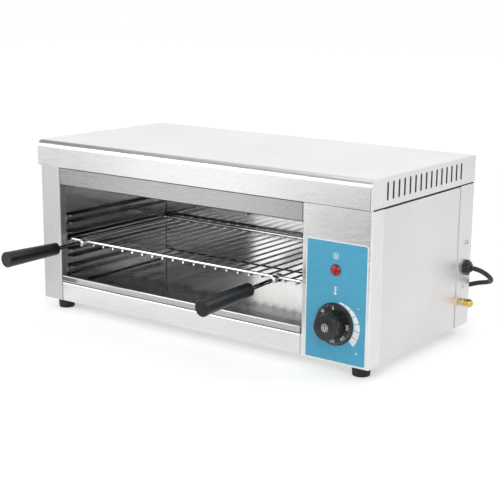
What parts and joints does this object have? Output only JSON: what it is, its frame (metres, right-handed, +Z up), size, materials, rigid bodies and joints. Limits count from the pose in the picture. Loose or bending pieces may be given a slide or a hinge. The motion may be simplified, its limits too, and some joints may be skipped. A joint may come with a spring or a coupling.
{
  "type": "cheese melter",
  "caption": "Bench-top electric salamander grill: folded steel casing, pull-out wire rack with handles, drip tray, thermostat knob and wound cord.",
  "frame": {"origin": "centre of the bounding box's bottom, on the worktop, measured without the cord", "axes": "+X to the right seen from the front, +Y to the back, +Z up"},
  "size_m": [0.6409, 0.5465, 0.267],
  "materials": {
    "casing_steel": "brushed stainless steel",
    "liner_steel": "bright annealed stainless steel",
    "tray_steel": "polished stainless steel",
    "wire_chrome": "bright chrome plate",
    "element_sheath": "heat-darkened alloy sheath",
    "plated_steel": "zinc-plated steel",
    "handle_black": "satin thermoset",
    "knob_black": "satin thermoset",
    "cap_metal": "turned and clear-coated",
    "label_print": "printed polyester film",
    "lens_red": "translucent red",
    "lamp_black": "moulded",
    "thermostat_case": "moulded phenolic",
    "copper_tube": "drawn copper",
    "ceramic_white": "unglazed steatite",
    "foot_rubber": "moulded",
    "gland_black": "moulded polyamide",
    "brass": "turned",
    "cord_black": "extruded sheath",
    "tie_black": "woven hook and loop",
    "plug_black": "moulded"
  },
  "bodies": {
    "casing": {"top_cover": "casing_steel", "lid_spacers": "plated_steel", "lid_screws": "plated_steel", "left_side_panel": "casing_steel", "right_side_panel": "casing_steel", "back_panel": "casing_steel", "base_panel": "casing_steel", "header_rail": "casing_steel", "bottom_rail": "casing_steel", "control_panel": "casing_steel", "rubber_feet": "foot_rubber", "foot_screws": "plated_steel", "casing_screws": "plated_steel", "left_cavity_wall": "liner_steel", "right_cavity_wall": "liner_steel", "left_runners": "liner_steel", "right_runners": "liner_steel", "cavity_back_wall": "liner_steel", "cavity_floor": "liner_steel", "cavity_ceiling": "liner_steel", "front_heating_element": "element_sheath", "rear_heating_element": "element_sheath", "element_hangers": "liner_steel", "panel_label": "label_print", "thermostat_body": "thermostat_case", "thermostat_screws": "plated_steel", "lamp_lens": "lens_red", "lamp_body": "lamp_black", "lamp_nut": "lamp_black", "sensor_bulb": "copper_tube", "capillary_tube": "copper_tube", "bulb_clips": "liner_steel", "cable_gland": "gland_black", "gland_locknut": "gland_black", "terminal_block": "ceramic_white", "inner_lead": "cord_black", "earth_stud": "brass", "earth_nuts": "brass", "earth_washer": "plated_steel", "power_cord": "cord_black", "cord_coil": "cord_black", "plug_lead": "cord_black", "cord_tie": "tie_black", "mains_plug": "plug_black", "plug_pins": "brass"},
    "rack": {"rack_frame": "wire_chrome", "rack_cross_wires": "wire_chrome", "left_handle_clamp": "wire_chrome", "left_clamp_nut": "wire_chrome", "left_handle_rod": "wire_chrome", "left_handle_grip": "handle_black", "right_handle_clamp": "wire_chrome", "right_clamp_nut": "wire_chrome", "right_handle_rod": "wire_chrome", "right_handle_grip": "handle_black"},
    "tray": {"drip_tray": "tray_steel"},
    "knob": {"control_knob": "knob_black", "knob_cap": "cap_metal", "thermostat_shaft": "plated_steel"}
  },
  "joints": [
    {"name": "rack_slide", "type": "slide", "parent": "casing", "child": "rack", "axis": [0, -1, 0], "range_m": [0, 0.225]},
    {"name": "tray_slide", "type": "slide", "parent": "casing", "child": "tray", "axis": [0, -1, 0], "range_m": [0, 0.245]},
    {"name": "knob_turn", "type": "hinge", "parent": "casing", "child": "knob", "pos_m": [0.23845, -0.07444, 0.0705], "axis": [0, 1, 0], "range_deg": [0, 270]}
  ]
}
